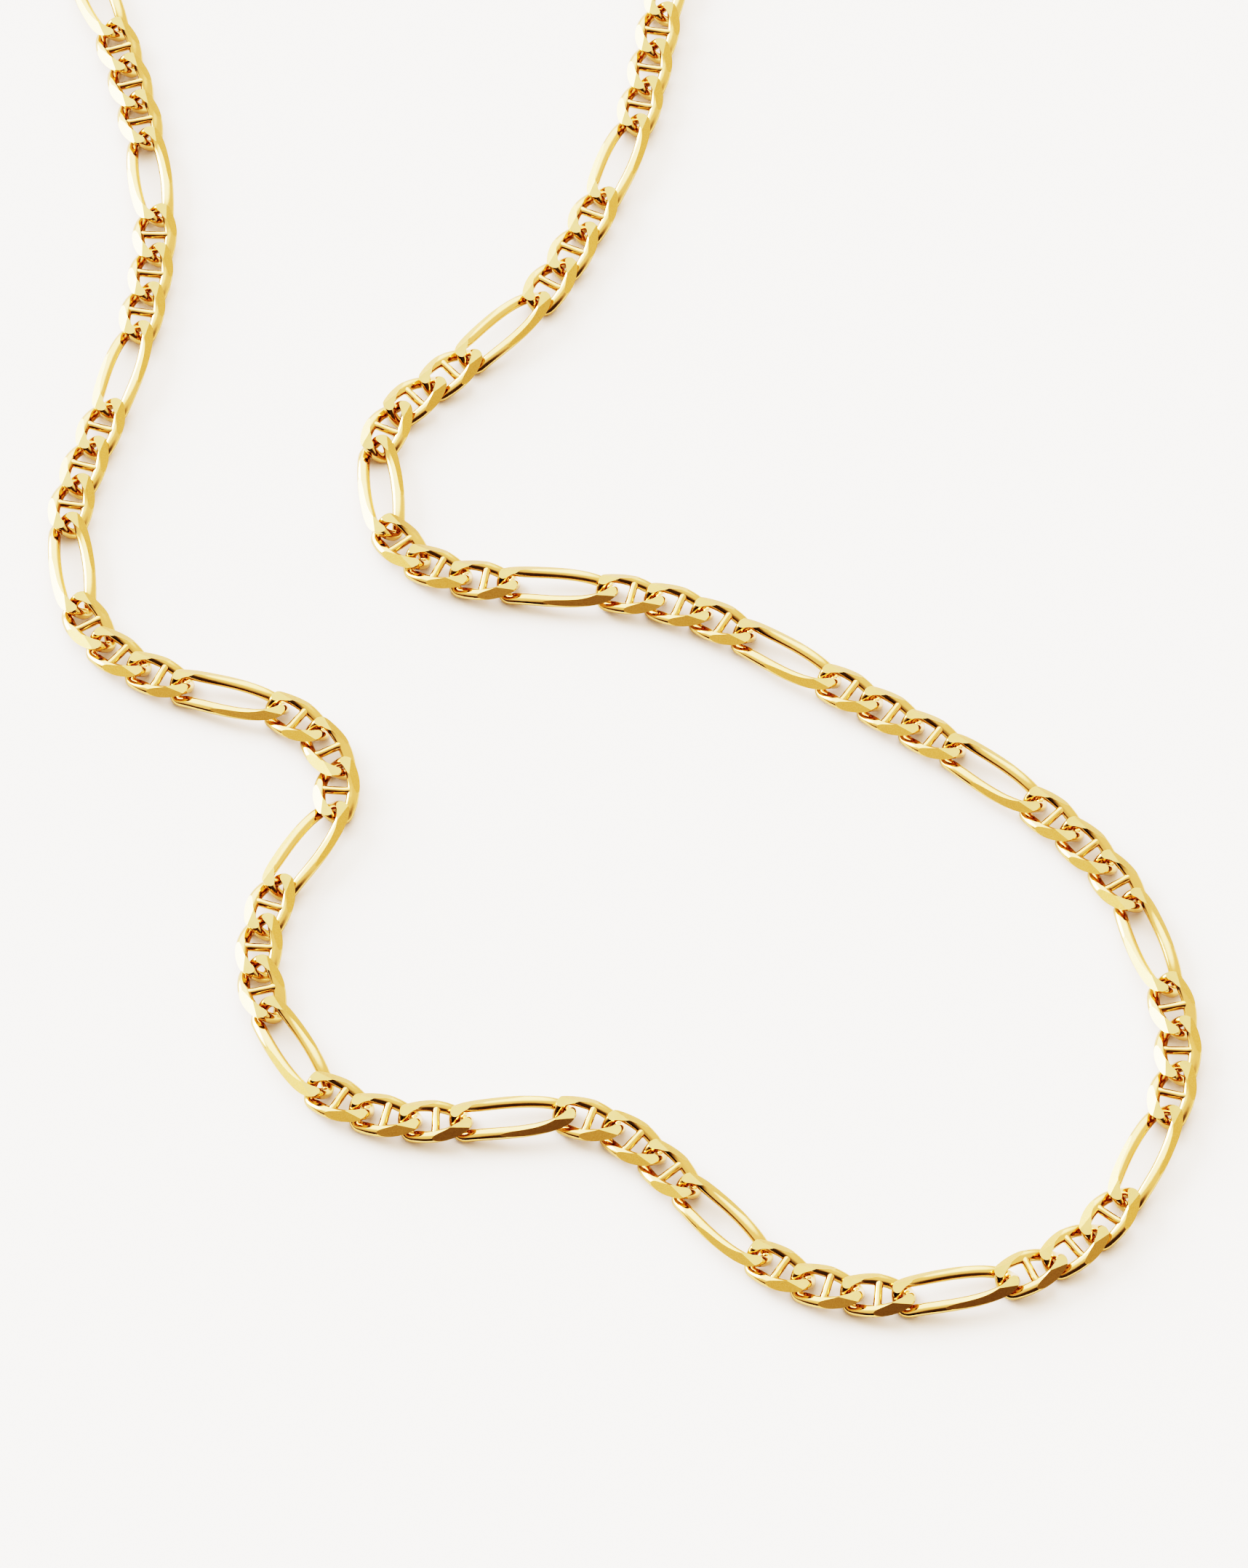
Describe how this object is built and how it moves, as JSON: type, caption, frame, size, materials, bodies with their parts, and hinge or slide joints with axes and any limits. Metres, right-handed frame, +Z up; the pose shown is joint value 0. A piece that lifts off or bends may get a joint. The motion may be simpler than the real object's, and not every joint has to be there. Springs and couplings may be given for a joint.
{
  "type": "curb chain necklace",
  "caption": "Necklace of gold curb chain in an anchor pattern: short barred links between long open ones, laid flat in one closed loop with a plain barrel clasp.",
  "frame": {"origin": "under the middle of the laid loop, on the surface that it lies on", "axes": "+Y up the picture towards the clasp, +X to the picture's right, +Z up off the surface"},
  "size_m": [0.0801, 0.173, 0.0024],
  "materials": {
    "gold": "gold-plated brass, polished, with flat facets cut on the crests"
  },
  "bodies": {
    "root": {"repeat_01": "gold", "repeat_02": "gold", "repeat_03": "gold", "repeat_04": "gold", "repeat_05": "gold", "repeat_06": "gold", "repeat_07": "gold", "repeat_08": "gold", "repeat_09": "gold", "repeat_10": "gold", "repeat_11": "gold", "repeat_12": "gold", "repeat_13": "gold", "repeat_14": "gold", "repeat_15": "gold", "repeat_16": "gold", "repeat_17": "gold", "repeat_18": "gold", "repeat_19": "gold", "repeat_20": "gold", "repeat_21": "gold", "repeat_22": "gold", "repeat_23": "gold", "repeat_24": "gold", "repeat_25": "gold", "repeat_26": "gold", "repeat_27": "gold", "repeat_28": "gold", "repeat_29": "gold", "clasp": "gold"}
  },
  "joints": []
}
